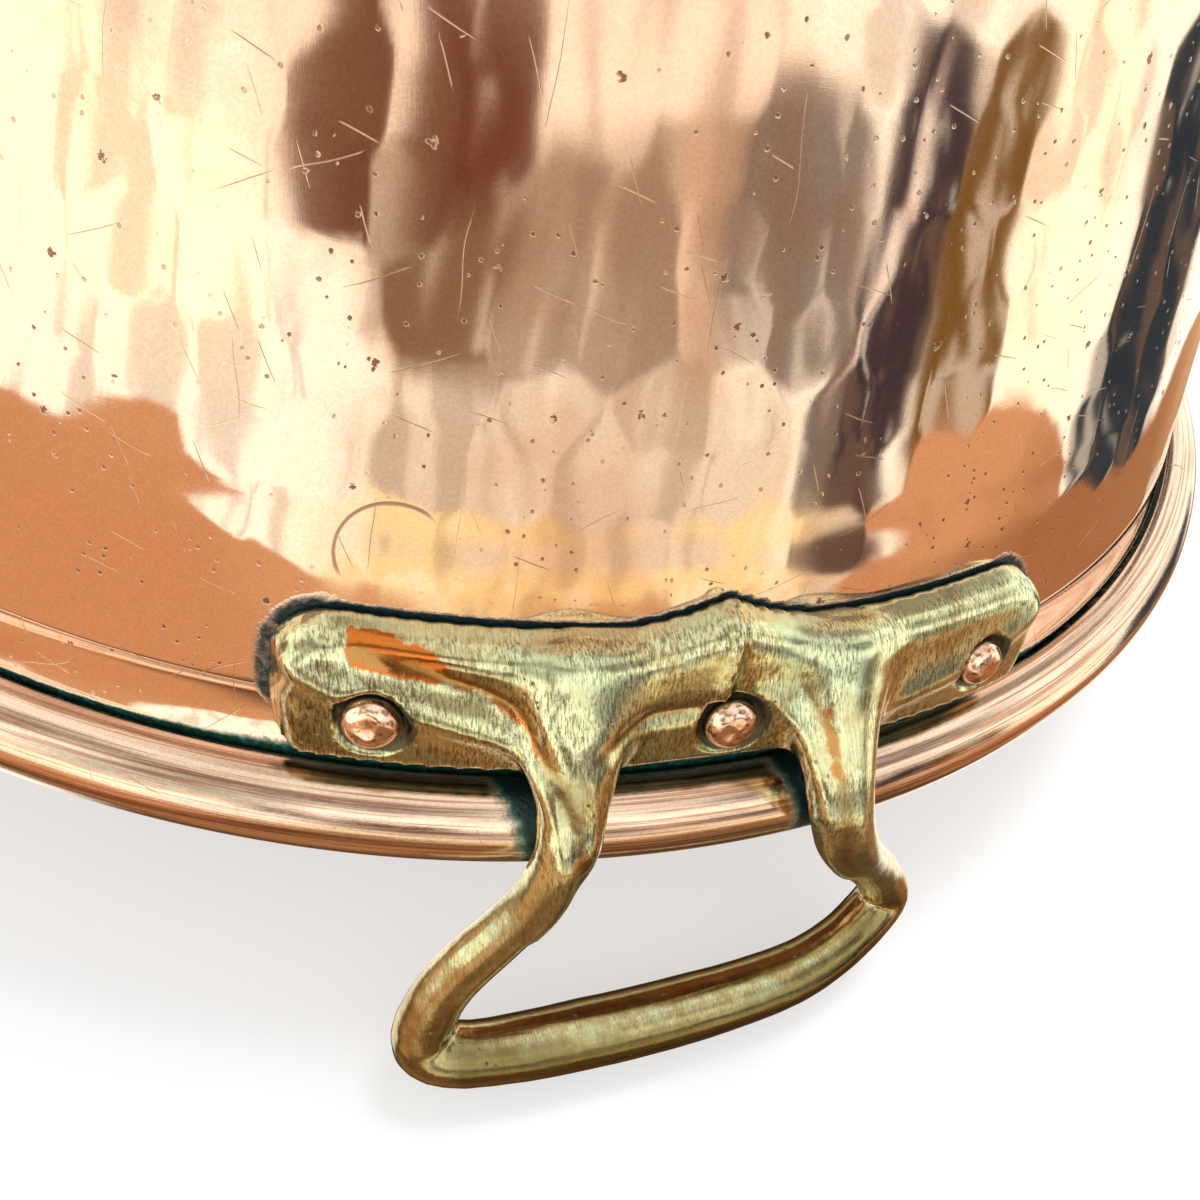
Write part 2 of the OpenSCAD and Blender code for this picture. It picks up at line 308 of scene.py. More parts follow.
def copper_material():
    made, n = new_material("hammered_copper")
    spot = n.spot()
    lathe = n.attribute("lathe", "Vector")
    bead = n.attribute("bead")
    inside = n.attribute("inside")

    clouds = n.noise(spot, 0.018, 4, 0.55)
    grain = n.noise(spot, 0.16, 3, 0.6)
    worn = n.step(n.plus(clouds, n.times(grain, 0.25)), 0.58, 0.78)
    colour = n.mix(worn, COPPER, COPPER_WORN)
    smudge = n.step(n.noise(n.place(spot, move=(70, 20, 10)), 0.035, 5, 0.65), 0.62, 0.75)
    colour = n.tint(colour, smudge, 0.35, COPPER_SMUDGE)

    # Brushed lines that run round the rim, and fine hand-polishing lines on the wall.
    streaks = n.noise(n.place(lathe, scale=(0.014, 0.014, 1.5)), 1, 7, 0.74)
    streak_colour = n.mix(n.step(streaks, 0.40, 0.54), STREAK_DARK, STREAK_LIGHT)
    colour = n.tint(colour, bead, 0.75, streak_colour)
    polish_a = n.noise(n.place(spot, scale=(0.5, 0.5, 6), turn=(0.5, 0.35, 0)), 1, 2, 0.6)
    polish_b = n.noise(n.place(spot, scale=(5, 0.5, 0.4), turn=(0.2, -0.6, 0.3)), 1, 2, 0.6)
    wander = n.times(n.noise(spot, 0.03, 2), 9)
    turn = n.math("ARCTAN2", *n.split(spot)[:2])
    around = n.math("MULTIPLY_ADD", turn, RIM_R, wander)
    height = n.plus(n.split(spot)[2], wander)
    scratches = 0.0
    for seed, (lean, pitch, length) in enumerate(SCRATCH_LAYERS):
        layer = scratch_layer(n, around, height, math.radians(lean), pitch, length, seed)
        scratches = n.larger(scratches, layer)
    scratches = n.times(scratches, n.step(height, 14, 26))
    scratches = n.larger(scratches, arc_scratch(n, spot, (45.2, -175.8, 90.8), 8.3, 42, 92))

    # Pits: many pin holes, fewer larger ones, in loose groups.
    crowd = n.step(n.noise(n.place(spot, move=(5, 9, 3)), 0.03, 3, 0.6), 0.40, 0.58)
    ragged = n.times(n.minus(n.noise(spot, 1.6, 3), 0.5), 0.22)
    small = n.step(n.plus(n.cells(spot, 0.42), ragged), 0.14, 0.08)
    large = n.step(n.plus(n.cells(n.place(spot, move=(3, 1, 2)), 0.13), ragged), 0.075, 0.045)
    pits = n.larger(n.times(small, crowd), large)
    pits = n.times(pits, n.minus(1, bead))
    colour = n.tint(colour, pits, 0.85, PIT_DARK)
    colour = n.tint(colour, scratches, 0.6, SCRATCH_DARK)
    speck = n.step(n.noise(spot, 2.2, 2, 0.7), 0.40, 0.62)
    colour = n.tint(colour, speck, 0.16, COPPER_GRAIN)

    # Verdigris, and soot with painted shade where the arms cross the roll and along the plate's outline:
    # painted masks, broken up by noise.
    breakup = n.minus(n.noise(spot, 0.55, 4, 0.65), 0.5)
    green = n.painted("verdigris", breakup, 0.6, 0.25, 0.75)
    shade = n.noise(spot, 0.9, 3)
    colour = n.mix(green, colour, n.mix(n.step(shade, 0.45, 0.7), VERDIGRIS, VERDIGRIS_PALE))
    soot_and_shade = n.painted("soot_and_shade", breakup, 0.5, 0.25, 0.7)
    colour = n.mix(soot_and_shade, colour, SOOT_SHADE)
    dirt_and_shade = n.larger(green, soot_and_shade)

    rough = n.step(n.plus(clouds, n.times(grain, 0.2)), 0.45, 0.8, to=(0.045, 0.085))
    marks = n.larger(pits, scratches)
    for mask, share in ((inside, 0.12), (marks, 0.25), (bead, 0.03), (dirt_and_shade, 0.22)):
        rough = n.plus(rough, n.times(mask, share))
    metallic = n.minus(1, n.times(dirt_and_shade, 0.5))

    fine = n.plus(n.times(polish_a, 0.5), n.times(polish_b, 0.5))
    normal = n.bump(fine, 0.0000012, 1.0)
    normal = n.bump(n.times(streaks, bead), 0.00003, 1.0, normal)
    dents = n.minus(1, n.larger(pits, n.times(scratches, 0.5)))
    normal = n.bump(dents, 0.00004, 0.7, normal)
    normal = n.bump(n.times(dirt_and_shade, n.noise(spot, 1.3, 4)), 0.00025, 0.8, normal)
    finish_material(n, colour, rough, metallic, normal)
    return made


BRASS = (0.70, 0.68, 0.42)
BRASS_GREEN = (0.60, 0.70, 0.49)
BRASS_BROWN = (0.42, 0.27, 0.10)
BRASS_RED = (0.68, 0.17, 0.02)
BRASS_SHADE_DARK = (0.05, 0.035, 0.018)
# Dark olive of the painted shade on the grip and the outer arms.
BRASS_SHADE = (0.20, 0.15, 0.055)
STROKE_DARK, STROKE_GLINT = (0.16, 0.12, 0.045), (0.95, 0.95, 0.72)
SAND_PIT = (0.13, 0.09, 0.04)


def brass_material(name, seed):
    made, n = new_material(name)
    # Each casting takes its marks from another part of the noise.
    cast = n.place(n.attribute("cast", "Vector"), move=(seed * 31.0, seed * 17.0, seed * 7.0))
    clouds = n.noise(cast, 0.07, 4, 0.6)
    green = n.step(clouds, 0.44, 0.62)
    colour = n.mix(n.times(green, 0.7), BRASS, BRASS_GREEN)
    brown = n.step(n.noise(n.place(cast, move=(40, 3, 9)), 0.09, 5, 0.65), 0.52, 0.72)
    colour = n.tint(colour, brown, 0.7, BRASS_BROWN)

    # File marks: short strokes across the plate, denser where the file bit. The dark strokes are marks of
    # the file; the bright ones are painted glints.
    strokes_a = n.noise(n.place(cast, scale=(3.4, 0.75, 1.0), turn=(0, 0, 0.6)), 1, 3, 0.7)
    strokes_b = n.noise(n.place(cast, scale=(3.0, 0.7, 0.9), turn=(0, 0, 0.1)), 1, 3, 0.7)
    which = n.step(n.noise(cast, 0.06, 1), 0.45, 0.55)
    strokes = n.plus(n.times(strokes_a, which),
                     n.times(strokes_b, n.minus(1, which)))
    bite = n.times(n.step(n.noise(cast, 0.11, 2), 0.25, 0.55), n.attribute("filed"))
    dark_strokes = n.times(n.step(strokes, 0.50, 0.42), bite)
    colour = n.tint(colour, dark_strokes, 0.72, STROKE_DARK)
    # Painted glints along the bright file strokes.
    glint_strokes = n.times(n.step(strokes, 0.53, 0.60), bite)
    colour = n.tint(colour, glint_strokes, 0.62, STROKE_GLINT)

    # Sand pits of the casting.
    ragged = n.times(n.minus(n.noise(cast, 2.2, 3), 0.5), 0.3)
    pits = n.step(n.plus(n.cells(cast, 0.55), ragged), 0.16, 0.08)
    crowd = n.step(n.noise(n.place(cast, move=(9, 9, 9)), 0.12, 3), 0.48, 0.64)
    pits = n.larger(n.times(pits, crowd), n.attribute("pit"))

    break_up = n.minus(n.noise(cast, 0.5, 4, 0.7), 0.5)
    red = n.painted("worn", break_up, 0.9, 0.38, 0.62)
    colour = n.tint(colour, red, 0.95, BRASS_RED)
    # Brown: painted shade along the valleys, and brown bands across the rivets, rising onto the arms and
    # the grip.
    tan = n.painted("tan", break_up, 0.8, 0.35, 0.75)
    colour = n.tint(colour, tan, 0.75, BRASS_BROWN)
    # Dark olive painted shade on the grip round its band of painted highlight, and low on the outer arms.
    painted_shade = n.plus(n.attribute("painted_shade"), n.times(break_up, 0.35))
    colour = n.mix(n.step(painted_shade, 0, 1.1), colour, BRASS_SHADE)
    # Near black painted shade where the casting meets the wall and the roll, and in the rivet pockets.
    grime_and_shade = n.painted("grime_and_shade", break_up, 0.6, 0.3, 0.75)
    colour = n.tint(colour, grime_and_shade, 0.9, BRASS_SHADE_DARK)
    patina = n.painted("verdigris", break_up, 0.6, 0.35, 0.7)
    colour = n.mix(patina, colour, VERDIGRIS)
    colour = n.tint(colour, pits, 0.75, SAND_PIT)

    dirt_and_shade = n.larger(n.times(grime_and_shade, 0.7), patina)
    rough = n.step(clouds, 0.35, 0.7, to=(0.12, 0.21))
    rough = n.plus(rough, n.times(n.larger(pits, dirt_and_shade), 0.25))
    metallic = n.minus(1, n.times(dirt_and_shade, 0.35))
    depth = n.plus(n.times(strokes, bite), n.times(clouds, 0.4))
    normal = n.bump(depth, 0.000035, 1.0)
    normal = n.bump(n.noise(cast, 1.1, 4, 0.6), 0.00003, 0.7, normal)
    normal = n.bump(n.minus(1, pits), 0.00015, 0.8, normal)
    finish_material(n, colour, rough, metallic, normal)
    return made


def rivet_material():
    made, n = new_material("rivet_copper")
    spot = n.spot()
    tone = n.noise(spot, 0.35, 4, 0.6)
    colour = n.mix(n.step(tone, 0.4, 0.65), (0.97, 0.74, 0.62), (0.84, 0.47, 0.34))
    spots = n.step(n.noise(spot, 1.1, 3), 0.56, 0.66)
    colour = n.tint(colour, spots, 0.8, (0.42, 0.13, 0.07))
    # Near black painted shade on the head's edge and the shank, down in the pocket.
    grime_and_shade = n.painted("grime_and_shade", tone, 0.4, 0.6, 0.95)
    colour = n.mix(grime_and_shade, colour, (0.05, 0.03, 0.02))
    rough = n.step(tone, 0.35, 0.7, to=(0.10, 0.2))
    lines = n.noise(n.place(spot, scale=(0.4, 0.4, 5), turn=(0.3, 0.7, 0)), 1, 3)
    normal = n.bump(lines, 0.000002, 0.8)
    normal = n.bump(n.noise(spot, 0.9, 2), 0.00004, 0.7, normal)
    finish_material(n, colour, rough, n.minus(1, n.times(grime_and_shade, 0.6)), normal)
    return made


def iron_material():
    made, n = new_material("black_iron")
    spot = n.spot()
    rust = n.step(n.noise(spot, 0.4, 5, 0.65), 0.5, 0.68)
    colour = n.mix(rust, (0.10, 0.095, 0.09), (0.20, 0.075, 0.03))
    rough = n.step(rust, 0, 1, to=(0.4, 0.85))
    normal = n.bump(n.noise(spot, 1.5, 4), 0.0001, 0.6)
    finish_material(n, colour, rough, n.minus(0.9, n.times(rust, 0.7)), normal)
    return made


# ---------- handle plate, shared outline

POINT_SIDE, POINT_H, POINT_REACH = -1.2, 4.5, 22
LOW_EDGE = 38.2
CORNER_LOW, CORNER_TOP = 11, 4
PLATE_TOP = 20.5
TOP_BETWEEN_ARMS, TOP_AT_ENDS = 20.7, 19.8


def low_edge(side):
    """Depth of the plate's lower edge, which rises to a point in the middle."""
    share = np.clip(1 - np.abs(side - POINT_SIDE) / POINT_REACH, 0, 1)
    return LOW_EDGE + POINT_H * share ** 2


def plate_inset(side, h):
    """Distance from the plate's outline at the wall, positive inside it."""
    half = (LOW_EDGE - PLATE_TOP) / 2
    y = h - (LOW_EDGE + PLATE_TOP) / 2
    r = np.where(y > 0, CORNER_LOW, CORNER_TOP)
    qx, qy = np.abs(side) - PLATE_HALF_W + r, np.abs(y) - half + r
    box = r - np.hypot(np.maximum(qx, 0), np.maximum(qy, 0)) - np.minimum(np.maximum(qx, qy), 0)
    point = np.minimum(low_edge(side) - h, POINT_REACH - np.abs(side - POINT_SIDE))
    return np.where(h > LOW_EDGE - 2, np.maximum(box, np.minimum(point, 12)), box)


# ---------- copper shell

HAMMER_PITCH = 10.0
HAMMER_DEPTH = 0.13
WAVE_DEPTH = 0.18
COVE_LOW = 24.0
COVE_DEPTH = 0.75
SMOOTH_CENTRE = 45


def hammer_marks(theta, radius, along, seed):
    """Planished facets, 0 in the middle of a mark and about 1 on the ridges between marks.

    radius and along give each row's radius and its length along the section; marks stand in
    staggered rings, each moved a little, and the lowest one wins at every place.
    """
    rng = np.random.default_rng(seed)
    out = np.full((len(along), len(theta)), 9.0)
    rings = int(along.max() / HAMMER_PITCH) + 3
    for ring in range(-1, rings):
        middle = (ring + 0.5 + rng.uniform(-0.12, 0.12)) * HAMMER_PITCH
        r = max(np.interp(middle, along, radius), 6)
        count = max(int(2 * math.pi * r / (HAMMER_PITCH * rng.uniform(1.0, 1.25))), 3)
        shift = rng.uniform(0, 1)
        move = rng.uniform(-0.22, 0.22, count)
        rise = rng.uniform(-0.2, 0.2, count) * HAMMER_PITCH
        level = rng.uniform(0, 0.4, count)
        rows = np.where(np.abs(along - middle) < 1.6 * HAMMER_PITCH)[0]
        turns = theta / (2 * math.pi) * count - shift
        for near in (-1, 0, 1):
            index = np.round(turns).astype(int) + near
            k = index % count
            du = (turns - index - move[k]) / count * 2 * math.pi
            for row in rows:
                dv = (along[row] - middle - rise[k]) / HAMMER_PITCH
                depth = level[k] + 2.0 * ((du * radius[row] / HAMMER_PITCH) ** 2 + dv ** 2)
                out[row] = np.minimum(out[row], depth)
    return np.clip(out, 0, 1.6) / 1.6


def slow_waves(theta, along, seed):
    """Long shallow swellings of the raised sheet, about -1 to 1."""
    rng = np.random.default_rng(seed)
    out = 0
    for turns, wave in ((3, 210), (7, 130), (11, 95), (17, 70), (23, 55)):
        a, b = rng.uniform(0, 2 * math.pi, 2)
        lean = rng.uniform(-1, 1)
        sway = np.cos(turns * theta[None, :] + a + lean * along[:, None] / wave * 6)
        out = out + sway * np.cos(along[:, None] / wave * 2 * math.pi + b) / 2.6
    return out


def ring_of_angles():
    """Angles around the bowl, closer together at the two handles."""
    places, spacing = [0, 21, 32, 62, 75, 150, 160, 180], [0.22, 0.22, 0.34, 0.34, 0.6, 0.6, 0.4, 0.4]
    half = [0.0]
    while half[-1] < 180:
        half.append(half[-1] + np.interp(half[-1], places, spacing))
    half = np.array(half) * 180 / half[-1]
    return np.radians(np.concatenate([half, -half[-2:0:-1]]))


def arc(centre, r, start, end, steps):
    angles = np.radians(np.linspace(start, end, steps))
    return [(centre[0] + r * math.cos(a), centre[1] + r * math.sin(a)) for a in angles]


def straight(a, b, step):
    count = max(int(math.dist(a, b) / step), 1)
    return [(a[0] + (b[0] - a[0]) * i / count, a[1] + (b[1] - a[1]) * i / count) for i in range(count)]


def shell_section():
    """The sheet's section as named stretches of (r, z), from the pole under the base to the one inside."""
    flare = math.degrees(FLARE)
    middle = (RIM_R, ROLL_Z)
    wall_low = (CORNER[0] + CORNER_R * math.cos(FLARE), CORNER[1] - CORNER_R * math.sin(FLARE))
    inner_r = CORNER_R - SHEET_T
    inner_low = (CORNER[0] + inner_r * math.cos(FLARE), CORNER[1] - inner_r * math.sin(FLARE))
    inner_top = (wall_r(SEAM_Z, -SHEET_T), SEAM_Z)
    crease = (wall_r(BOWL_H - COVE_LOW), BOWL_H - COVE_LOW)
    fine = (wall_r(BOWL_H - 50), BOWL_H - 50)
    outside = straight((2, 0), (CORNER[0], 0), 3.0) + arc(CORNER, CORNER_R, -90, -flare, 30)[:-1]
    outside += straight(wall_low, fine, 1.3) + straight(fine, crease, 0.85)
    outside += straight(crease, (SEAM_R, SEAM_Z), 0.6)
    cavity = arc(middle, WIRE_R, NECK_ANGLE, CUT_ANGLE - 360, 24)
    roll = arc(middle, ROLL_R, CUT_ANGLE - 360, NECK_ANGLE, 72)
    inside = straight(inner_top, inner_low, 1.6) + arc(CORNER, inner_r, -flare, -90, 22)[:-1]
    inside += straight((CORNER[0], SHEET_T), (2, SHEET_T), 4.0) + [(2, SHEET_T)]
    return [("outside", outside), ("cavity", [(SEAM_R, SEAM_Z)] + cavity), ("roll", roll),
            ("inside", inside)]


def shell_shape(stretch, r, z, along, theta):
    """How far each place of a stretch is moved along the wall's outward normal, in mm."""
    if stretch == "cavity":
        return np.zeros((len(r), len(theta)))
    if stretch == "roll":
        swell = slow_waves(theta, along * 4, 5)
        seat = smooth(np.abs(np.arange(len(r)) / (len(r) - 1) - 0.5), 0.5, 0.42)
        return -0.10 * (1 + swell) * seat[:, None]
    h = BOWL_H - z
    from_centre = along if stretch == "outside" else along[::-1]
    marks = hammer_marks(theta, r, from_centre, 11)
    waves = slow_waves(theta, from_centre, 3)
    strength = 0.75 + 0.5 * slow_waves(theta, along * 0.8, 8)
    on_wall = smooth(h, COVE_LOW - 1, COVE_LOW + 5)[:, None]
    near_plate = smooth(np.degrees(np.minimum(np.abs(theta), np.pi - np.abs(theta))), 19, 26)
    near_plate = np.maximum(near_plate[None, :], smooth(h, 42, 52)[:, None])
    hammered = HAMMER_DEPTH * np.clip(strength, 0.15, 1.4) * (1 - marks) * (0.4 + 0.6 * near_plate)
    swollen = WAVE_DEPTH * np.maximum(1 + waves, 0) * (0.15 + 0.85 * near_plate)
    move = -(hammered + swollen) * on_wall * smooth(r, 4, SMOOTH_CENTRE)[:, None]
    if stretch == "inside":
        return 0.8 * move
    share = np.clip((COVE_LOW - h) / (COVE_LOW - SEAM_DROP), 0, 1)
    return move - COVE_DEPTH * np.sin(math.pi * share ** 0.8)[:, None]


def build_shell(material):
    theta = ring_of_angles()
    columns = len(theta)
    points, start = [], 0.0
    painted = {"lathe": [], "bead": [], "inside": [], "verdigris": [], "soot_and_shade": []}
    for stretch, rows in shell_section():
        r, z = np.array(rows).T
        steps = np.hypot(np.diff(r), np.diff(z))
        along = np.concatenate([[0], np.cumsum(steps)])
        move = shell_shape(stretch, r, z, along, theta)
        dr, dz = np.gradient(r), np.gradient(z)
        length = np.hypot(dr, dz)
        flip = -1 if stretch == "inside" else 1
        normal_r, normal_z = flip * dz / length, -flip * dr / length
        rr = r[:, None] + normal_r[:, None] * move
        zz = z[:, None] + normal_z[:, None] * move
        sin, cos = np.sin(theta)[None, :], np.cos(theta)[None, :]
        points.append(np.stack([rr * sin, -rr * cos, zz], -1).reshape(-1, 3))
        v = np.repeat((along + start)[:, None], columns, 1)
        lathe = np.stack([RIM_R * sin + 0 * v, -RIM_R * cos + 0 * v, v], -1)
        bead = float(stretch in ("roll", "cavity")) + 0 * v
        inside = float(stretch == "inside") + 0 * v
        values = lathe, bead, inside, *shell_stains_and_shade(stretch, theta, rr, zz)
        for rows, value in zip(painted.values(), values):
            rows.append(value.reshape(rr.size, -1))
        start += along[-1]
    poles = np.array([[0, 0, 0], [0, 0, SHEET_T]], float)
    attributes = []
    for key, rows in painted.items():
        rows.append(poles if key == "lathe" else np.zeros((2, 1)))
        attributes.append((key, np.concatenate(rows)))
    points = np.concatenate(points + [poles])
    faces = turned_faces(len(points) // columns, columns)
    return make_piece("bowl_shell_planished", points, faces, material, attributes)


def shell_stains_and_shade(stretch, theta, rr, zz):
    """Masks from 0 to 1 for verdigris and for soot on the copper. The soot mask is painted shade where the
    arms cross the roll and along the plate's outline; the green where the arms cross the roll is painted
    shade too.
    """
    h = BOWL_H - zz
    front = np.abs(theta) < math.pi / 2
    side = np.where(front, 1, -1)[None, :] * rr * np.sin(theta)[None, :]
    angle = np.degrees(np.minimum(np.abs(theta), math.pi - np.abs(theta)))[None, :]
    patches = 0.5 + 0.5 * np.sin(theta * 9 + 1)[None, :] * np.sin(theta * 23 + 0.5)[None, :]
    near = smooth(angle, 27, 16)
    if stretch == "inside":
        return 0 * h, 0 * h
    if stretch == "cavity":
        return 0.9 + 0 * h, 0 * h
    to_seam = np.hypot(rr - SEAM_R, zz - SEAM_Z)
    seam = bump(to_seam, 0.6 + 1.2 * near) * (0.4 + 0.3 * patches + 0.5 * near)
    if stretch == "roll":
        # Where the arms cross the roll: painted contact shade, in the green mask and in the dark one.
        arms = np.minimum(np.abs(side - 26.5), np.abs(side + 19))
        under = zz < ROLL_Z + 3
        reach = 7.2 + 1.2 * np.sin(theta * 31)[None, :] - 0.4 * (rr - RIM_R)
        contact = smooth(arms, reach + 4, reach - 3) * under * smooth(rr, RIM_R - 6, RIM_R - 3)
        return np.maximum(seam, 0.8 * contact), 0.75 * smooth(arms, reach + 1, reach - 3) * (contact > 0)
    inset = plate_inset(side, h)
    # A dark line round the plate's outline, stronger on the base side, and a wider band beyond its ends:
    # painted shade where the plate meets the wall.
    outline = smooth(inset, -1.0, -0.2) * (h > 19)
    base_side = smooth(h, 33, 36)
    green = np.maximum(seam, 0.5 * smooth(inset, -3.2, -1) * smooth(h, 31, 27))
    green = np.maximum(green, 0.62 * smooth(angle, 20.5, 16.5) * smooth(h, 22, 18.5))
    halo = 0.6 * smooth(inset, -2.6, -0.8) * smooth(angle, 16, 17.5)
    return np.maximum(green, 0.25 * outline), np.maximum(outline * (0.55 + 0.35 * base_side), halo)


# ---------- brass handles, as distance fields

ARM_D, GRIP_D = 8.8, 11.6
ARM_ACROSS, ARM_FLAT = ARM_D + 1.2, ARM_D - 0.4

# Middle line of the loop: outward from the rim circle, sideways, up from the rim's top, then the
# thickness across and outward. The rows are the CAD's, but the first and last three lie deeper in
# the plate, which lets the fillets take over.
LOOP_ROWS = [
    (-9.4, 20.5, -35.5, ARM_ACROSS + 3, ARM_FLAT),
    (-5.2, 21.3, -31, ARM_ACROSS + 4, ARM_D),
    (-0.9, 22.2, -27, ARM_ACROSS + 3, ARM_D),
    (4.5, 23, -19.5, ARM_ACROSS + 1, ARM_D),
    (8.7, 24.2, -15, ARM_ACROSS, ARM_FLAT),
    (11.4, 27.5, -7, ARM_D, ARM_FLAT),
    (12.8, 32, 0, ARM_D - 0.3, ARM_FLAT),
    (14.8, 39, 10, ARM_D, ARM_D),
    (17.2, 43.2, 17.5, ARM_D + 0.7, ARM_D + 0.7),
    (20.6, 45, 24.5, ARM_D + 1.6, ARM_D + 1.6),
    (23.4, 37.8, 26.8, GRIP_D - 1, GRIP_D - 1),
    (23.7, 18, 28, GRIP_D, GRIP_D),
    (22.8, -3.4, 28.5, GRIP_D, GRIP_D),
    (21.1, -21.4, 27.2, GRIP_D - 0.8, GRIP_D - 0.8),
    (18.4, -31.5, 25.7, GRIP_D - 1.6, GRIP_D - 1.6),
    (14.8, -39, 23.8, ARM_D + 1, ARM_D + 1),
    (11.2, -43.6, 19.5, ARM_D + 0.8, ARM_D + 0.8),
    (9.9, -38.4, 11, ARM_D + 0.4, ARM_D),
    (10.8, -30.9, 1, ARM_D + 0.4, ARM_FLAT),
    (11.6, -24.3, -8, ARM_D + 1, ARM_FLAT),
    (10, -20.5, -15.5, ARM_ACROSS, ARM_FLAT),
    (6.2, -19.3, -21, ARM_ACROSS + 1, ARM_D),
    (0.5, -19.5, -26, ARM_ACROSS + 3, ARM_D),
    (-4.8, -20.2, -30.5, ARM_ACROSS + 4, ARM_D),
    (-9.2, -20.5, -35, ARM_ACROSS + 3, ARM_FLAT),
]

# Lines on the casting as (side, h): crests stand a little proud, valleys are shallow grooves.
CREST_LEFT = [(62, 35.5), (55.4, 32.3), (45.3, 30.2), (36.7, 27.9), (29, 25.2), (26, 21.5),
              (25, 17), (25.4, 10), (28, 3)]
CREST_RIGHT = [(-7, 31.5), (-12, 27.5), (-14.6, 22), (-16, 16), (-18.5, 9), (-24, 2)]
CREST_END = [(-61, 34), (-52, 30), (-42, 28), (-33, 26.5), (-27, 23.5)]
VALLEY_LEFT = [(52, 36.8), (41.8, 35.6), (34.9, 33.8), (29.4, 30.8), (25.4, 26.5), (23.2, 22),
               (22.2, 16), (22.8, 9), (25.5, 3)]
VALLEY_RIGHT = [(-13, 33.5), (-16, 29), (-17.6, 24), (-18.8, 19), (-20.2, 13), (-22.5, 8)]
VALLEY_MIDDLE = [(20, 29.5), (12, 30), (4, 30.6), (-2, 31)]
POINT_RIDGE = [(-1.2, 44), (-0.6, 39), (0.1, 34), (0.4, 31)]
RELIEF = [(CREST_LEFT, 1.7, 0.55), (CREST_RIGHT, 1.7, 0.45), (CREST_END, 1.7, 0.3),
          (VALLEY_LEFT, 1.7, -0.5), (VALLEY_RIGHT, 1.9, -0.5), (POINT_RIDGE, 1.1, 0.9),
          (VALLEY_MIDDLE, 1.4, -0.45)]

# Marks along lines of the casting: line, width and strength. The red lines are wear; the brown along the
# valleys is painted shade.
WORN_RED = [([(51, 37.2), (41.5, 36)], 1.8, 1.4), ([(40, 35.4), (33, 32.5), (28, 28.5)], 1.5, 0.62),
            ([(-15.4, 31), (-17, 25.5)], 1.7, 0.6)]
VALLEY_SHADE = [(VALLEY_LEFT, 1.3, 0.8), (VALLEY_RIGHT, 1.8, 0.7), (VALLEY_MIDDLE, 1.2, 0.7)]

# The grip is painted dark olive shade all round, except a band left bright as a painted highlight, this
# many degrees below its outer side.
GRIP_HIGHLIGHT = 77
GRIP_HIGHLIGHT_WIDTH = 18

# Distance between the samples of the casting's field, and the clearance around it.
CELL = 0.8
GAP = 0.05


def spline(rows, steps):
    """Catmull-Rom curve through rows, steps points to each stretch."""
    p = np.vstack([rows[0], rows, rows[-1]]).astype(float)
    out = []
    for i in range(1, len(p) - 2):
        for k in range(steps):
            t = k / steps
            out.append(0.5 * (2 * p[i] + (p[i + 1] - p[i - 1]) * t
                              + (2 * p[i - 1] - 5 * p[i] + 4 * p[i + 1] - p[i + 2]) * t * t
                              + (3 * p[i] - p[i - 1] - 3 * p[i + 1] + p[i + 2]) * t ** 3))
    return np.array(out + [p[-2]])


def blend_min(a, b, k):
    """Smooth union of two distances, with a fillet of about k."""
    share = np.clip(0.5 + 0.5 * (b - a) / k, 0, 1)
    return b + (a - b) * share - k * share * (1 - share)


def unit(v):
    return v / np.linalg.norm(v)


def window(axes, centre, reach):
    """Slices of the grid's axes that lie within reach of centre."""
    return tuple(slice(*np.searchsorted(a, (c - reach, c + reach))) for a, c in zip(axes, centre))


def loop_field(axes, line):
    """Distance to the swept loop. line holds places and the two thicknesses."""
    field = np.full([len(a) for a in axes], 25.0)
    for a, b in zip(line[:-1], line[1:]):
        ahead = b[:3] - a[:3]
        length = np.linalg.norm(ahead)
        ahead = ahead / length
        side = unit(np.cross(ahead, (1, 0, 0)))
        out = np.cross(side, ahead)
        cut = window(axes, (a[:3] + b[:3]) / 2, 17)
        x, y, z = np.meshgrid(*[axis[s] for axis, s in zip(axes, cut)], indexing="ij", sparse=True)
        dx, dy, dz = x - a[0], y - a[1], z - a[2]
        s = dx * ahead[0] + dy * ahead[1] + dz * ahead[2]
        t = np.clip(s / length, 0, 1)
        across = (a[3] + (b[3] - a[3]) * t) / 2
        deep = (a[4] + (b[4] - a[4]) * t) / 2
        p = dx * side[0] + dy * side[1] + dz * side[2]
        q = dx * out[0] + dy * out[1] + dz * out[2]
        extra = (s - t * length) / deep
        k = np.sqrt((p / across) ** 2 + (q / deep) ** 2 + extra ** 2)
        distance = (k - 1) * np.sqrt(across * deep)
        field[cut] = np.minimum(field[cut], distance)
    return field


def rounded(x):
    """Quarter-round profile: 0 at the edge, 1 once x reaches 1."""
    return np.sqrt(np.clip(1 - (1 - np.clip(x, 0, 1)) ** 2, 0, 1))


def plate_height(side, h, foot):
    """Height of the plate's face above the wall at the foot of each place."""
    inside = low_edge(side) - foot
    # A shallow bevel at the base side, tighter rounds at the ends and towards the rim.
    body = 0.8 * (inside > 0) + 5.8 * rounded(inside / 5.2) * rounded((PLATE_HALF_W - np.abs(side)) / 4.5)
    body = body * rounded((plate_inset(side, foot + 4.6 * smooth(foot, 33, 27)) + 0.4) / 3.0)
    crest = np.minimum(line_distance(side, h, CREST_LEFT[:6]), line_distance(side, h, CREST_END))
    flat = smooth(crest, 6, 0) * 0.65
    slope = 0.10 * np.clip(27 - h, 0, 8)
    return body + flat - slope


def handle_grid():
    out = np.arange(RIM_R - 26, RIM_R + 32, CELL)
    side = np.arange(-PLATE_HALF_W - 3, PLATE_HALF_W + 3.1, CELL)
    up = np.arange(BOWL_H - 48, BOWL_H + 37, CELL)
    return out, side, up


